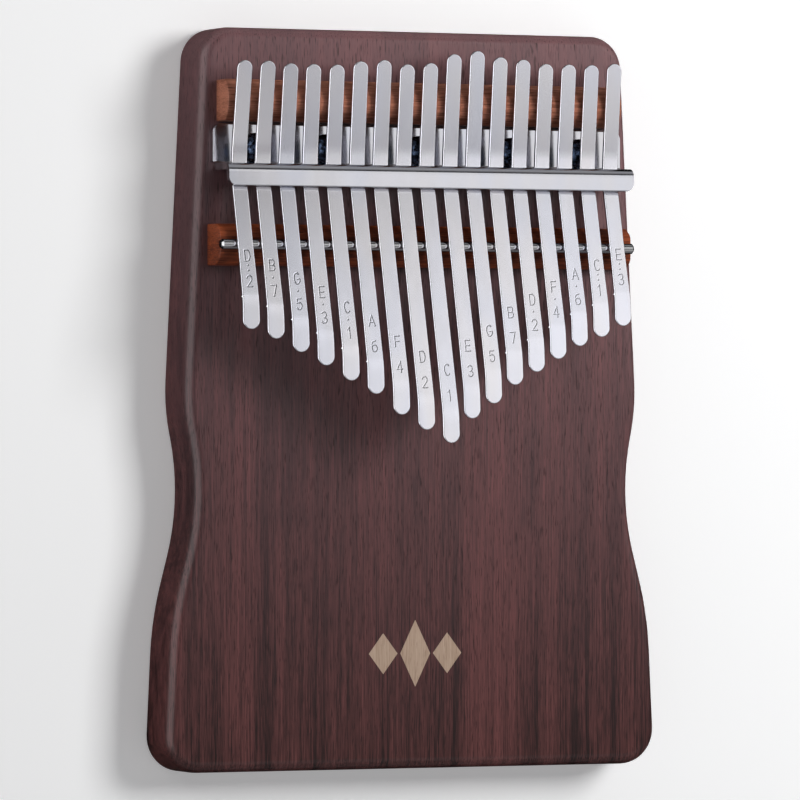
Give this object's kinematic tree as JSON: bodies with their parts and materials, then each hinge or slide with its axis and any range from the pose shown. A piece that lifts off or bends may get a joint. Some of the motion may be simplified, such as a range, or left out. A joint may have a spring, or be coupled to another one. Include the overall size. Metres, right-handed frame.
{
  "type": "thumb piano",
  "caption": "Solid-board thumb piano with a waisted hardwood board and flat steel tines held by a bent clamp plate over two wooden bridges.",
  "frame": {"origin": "centre of the bounding box at the board's flat back face, where the instrument rests when laid on its back", "axes": "+Z out of the playing face, +Y along the board towards the clamped rear end of the tines, +X to the player's right as the picture shows it"},
  "size_m": [0.1438, 0.198, 0.0394],
  "materials": {
    "board_wood": "satin",
    "rear_bridge_wood": "satin",
    "front_bridge_wood": "satin",
    "rod_steel": "polished",
    "plate_steel": "polished",
    "tine_steel": "fine brushed",
    "screw_black": "black oxide",
    "inlay_wood": "satin"
  },
  "bodies": {
    "base": {"board": "board_wood", "rear_bridge": "rear_bridge_wood", "front_bridge": "front_bridge_wood", "bridge_rod": "rod_steel", "clamp_plate": "plate_steel", "clamp_screws": "screw_black", "inlay_left": "inlay_wood", "inlay_centre": "inlay_wood", "inlay_right": "inlay_wood"},
    "tine_01": {"tine_01_shank": "tine_steel"},
    "tongue_01": {"tine_01_tongue": "tine_steel"},
    "tine_02": {"tine_02_shank": "tine_steel"},
    "tongue_02": {"tine_02_tongue": "tine_steel"},
    "tine_03": {"tine_03_shank": "tine_steel"},
    "tongue_03": {"tine_03_tongue": "tine_steel"},
    "tine_04": {"tine_04_shank": "tine_steel"},
    "tongue_04": {"tine_04_tongue": "tine_steel"},
    "tine_05": {"tine_05_shank": "tine_steel"},
    "tongue_05": {"tine_05_tongue": "tine_steel"},
    "tine_06": {"tine_06_shank": "tine_steel"},
    "tongue_06": {"tine_06_tongue": "tine_steel"},
    "tine_07": {"tine_07_shank": "tine_steel"},
    "tongue_07": {"tine_07_tongue": "tine_steel"},
    "tine_08": {"tine_08_shank": "tine_steel"},
    "tongue_08": {"tine_08_tongue": "tine_steel"},
    "tine_09": {"tine_09_shank": "tine_steel"},
    "tongue_09": {"tine_09_tongue": "tine_steel"},
    "tine_10": {"tine_10_shank": "tine_steel"},
    "tongue_10": {"tine_10_tongue": "tine_steel"},
    "tine_11": {"tine_11_shank": "tine_steel"},
    "tongue_11": {"tine_11_tongue": "tine_steel"},
    "tine_12": {"tine_12_shank": "tine_steel"},
    "tongue_12": {"tine_12_tongue": "tine_steel"},
    "tine_13": {"tine_13_shank": "tine_steel"},
    "tongue_13": {"tine_13_tongue": "tine_steel"},
    "tine_14": {"tine_14_shank": "tine_steel"},
    "tongue_14": {"tine_14_tongue": "tine_steel"},
    "tine_15": {"tine_15_shank": "tine_steel"},
    "tongue_15": {"tine_15_tongue": "tine_steel"},
    "tine_16": {"tine_16_shank": "tine_steel"},
    "tongue_16": {"tine_16_tongue": "tine_steel"},
    "tine_17": {"tine_17_shank": "tine_steel"},
    "tongue_17": {"tine_17_tongue": "tine_steel"}
  },
  "joints": [
    {"name": "pluck_01", "type": "hinge", "parent": "tine_01", "child": "tongue_01", "pos_m": [-0.0544, 0.041, 0.02715], "axis": [1, 0, 0], "range_deg": [-2, 4], "stiffness_Nm_per_rad": 12.57},
    {"name": "pluck_02", "type": "hinge", "parent": "tine_02", "child": "tongue_02", "pos_m": [-0.0476, 0.041, 0.02715], "axis": [1, 0, 0], "range_deg": [-2, 4], "stiffness_Nm_per_rad": 11.31},
    {"name": "pluck_03", "type": "hinge", "parent": "tine_03", "child": "tongue_03", "pos_m": [-0.0408, 0.041, 0.02715], "axis": [1, 0, 0], "range_deg": [-2, 4], "stiffness_Nm_per_rad": 9.92},
    {"name": "pluck_04", "type": "hinge", "parent": "tine_04", "child": "tongue_04", "pos_m": [-0.034, 0.041, 0.02715], "axis": [1, 0, 0], "range_deg": [-2, 4], "stiffness_Nm_per_rad": 8.84},
    {"name": "pluck_05", "type": "hinge", "parent": "tine_05", "child": "tongue_05", "pos_m": [-0.0272, 0.041, 0.02715], "axis": [1, 0, 0], "range_deg": [-2, 4], "stiffness_Nm_per_rad": 7.86},
    {"name": "pluck_06", "type": "hinge", "parent": "tine_06", "child": "tongue_06", "pos_m": [-0.0204, 0.041, 0.02715], "axis": [1, 0, 0], "range_deg": [-2, 4], "stiffness_Nm_per_rad": 7.16},
    {"name": "pluck_07", "type": "hinge", "parent": "tine_07", "child": "tongue_07", "pos_m": [-0.0136, 0.041, 0.02715], "axis": [1, 0, 0], "range_deg": [-2, 4], "stiffness_Nm_per_rad": 6.29},
    {"name": "pluck_08", "type": "hinge", "parent": "tine_08", "child": "tongue_08", "pos_m": [-0.0068, 0.041, 0.02715], "axis": [1, 0, 0], "range_deg": [-2, 4], "stiffness_Nm_per_rad": 5.77},
    {"name": "pluck_09", "type": "hinge", "parent": "tine_09", "child": "tongue_09", "pos_m": [0, 0.041, 0.02715], "axis": [1, 0, 0], "range_deg": [-2, 4], "stiffness_Nm_per_rad": 5.39},
    {"name": "pluck_10", "type": "hinge", "parent": "tine_10", "child": "tongue_10", "pos_m": [0.0068, 0.041, 0.02715], "axis": [1, 0, 0], "range_deg": [-2, 4], "stiffness_Nm_per_rad": 6.15},
    {"name": "pluck_11", "type": "hinge", "parent": "tine_11", "child": "tongue_11", "pos_m": [0.0136, 0.041, 0.02715], "axis": [1, 0, 0], "range_deg": [-2, 4], "stiffness_Nm_per_rad": 6.73},
    {"name": "pluck_12", "type": "hinge", "parent": "tine_12", "child": "tongue_12", "pos_m": [0.0204, 0.041, 0.02715], "axis": [1, 0, 0], "range_deg": [-2, 4], "stiffness_Nm_per_rad": 7.64},
    {"name": "pluck_13", "type": "hinge", "parent": "tine_13", "child": "tongue_13", "pos_m": [0.0272, 0.041, 0.02715], "axis": [1, 0, 0], "range_deg": [-2, 4], "stiffness_Nm_per_rad": 8.44},
    {"name": "pluck_14", "type": "hinge", "parent": "tine_14", "child": "tongue_14", "pos_m": [0.034, 0.041, 0.02715], "axis": [1, 0, 0], "range_deg": [-2, 4], "stiffness_Nm_per_rad": 9.43},
    {"name": "pluck_15", "type": "hinge", "parent": "tine_15", "child": "tongue_15", "pos_m": [0.0408, 0.041, 0.02715], "axis": [1, 0, 0], "range_deg": [-2, 4], "stiffness_Nm_per_rad": 10.67},
    {"name": "pluck_16", "type": "hinge", "parent": "tine_16", "child": "tongue_16", "pos_m": [0.0476, 0.041, 0.02715], "axis": [1, 0, 0], "range_deg": [-2, 4], "stiffness_Nm_per_rad": 11.78},
    {"name": "pluck_17", "type": "hinge", "parent": "tine_17", "child": "tongue_17", "pos_m": [0.0544, 0.041, 0.02715], "axis": [1, 0, 0], "range_deg": [-2, 4], "stiffness_Nm_per_rad": 13.47},
    {"name": "tune_01", "type": "slide", "parent": "base", "child": "tine_01", "axis": [0, 1, 0], "range_m": [-0.001, 0.001]},
    {"name": "tune_02", "type": "slide", "parent": "base", "child": "tine_02", "axis": [0, 1, 0], "range_m": [-0.001, 0.001]},
    {"name": "tune_03", "type": "slide", "parent": "base", "child": "tine_03", "axis": [0, 1, 0], "range_m": [-0.001, 0.001]},
    {"name": "tune_04", "type": "slide", "parent": "base", "child": "tine_04", "axis": [0, 1, 0], "range_m": [-0.001, 0.001]},
    {"name": "tune_05", "type": "slide", "parent": "base", "child": "tine_05", "axis": [0, 1, 0], "range_m": [-0.001, 0.001]},
    {"name": "tune_06", "type": "slide", "parent": "base", "child": "tine_06", "axis": [0, 1, 0], "range_m": [-0.001, 0.001]},
    {"name": "tune_07", "type": "slide", "parent": "base", "child": "tine_07", "axis": [0, 1, 0], "range_m": [-0.001, 0.001]},
    {"name": "tune_08", "type": "slide", "parent": "base", "child": "tine_08", "axis": [0, 1, 0], "range_m": [-0.001, 0.001]},
    {"name": "tune_09", "type": "slide", "parent": "base", "child": "tine_09", "axis": [0, 1, 0], "range_m": [-0.001, 0.001]},
    {"name": "tune_10", "type": "slide", "parent": "base", "child": "tine_10", "axis": [0, 1, 0], "range_m": [-0.001, 0.001]},
    {"name": "tune_11", "type": "slide", "parent": "base", "child": "tine_11", "axis": [0, 1, 0], "range_m": [-0.001, 0.001]},
    {"name": "tune_12", "type": "slide", "parent": "base", "child": "tine_12", "axis": [0, 1, 0], "range_m": [-0.001, 0.001]},
    {"name": "tune_13", "type": "slide", "parent": "base", "child": "tine_13", "axis": [0, 1, 0], "range_m": [-0.001, 0.001]},
    {"name": "tune_14", "type": "slide", "parent": "base", "child": "tine_14", "axis": [0, 1, 0], "range_m": [-0.001, 0.001]},
    {"name": "tune_15", "type": "slide", "parent": "base", "child": "tine_15", "axis": [0, 1, 0], "range_m": [-0.001, 0.001]},
    {"name": "tune_16", "type": "slide", "parent": "base", "child": "tine_16", "axis": [0, 1, 0], "range_m": [-0.001, 0.001]},
    {"name": "tune_17", "type": "slide", "parent": "base", "child": "tine_17", "axis": [0, 1, 0], "range_m": [-0.001, 0.001]}
  ]
}
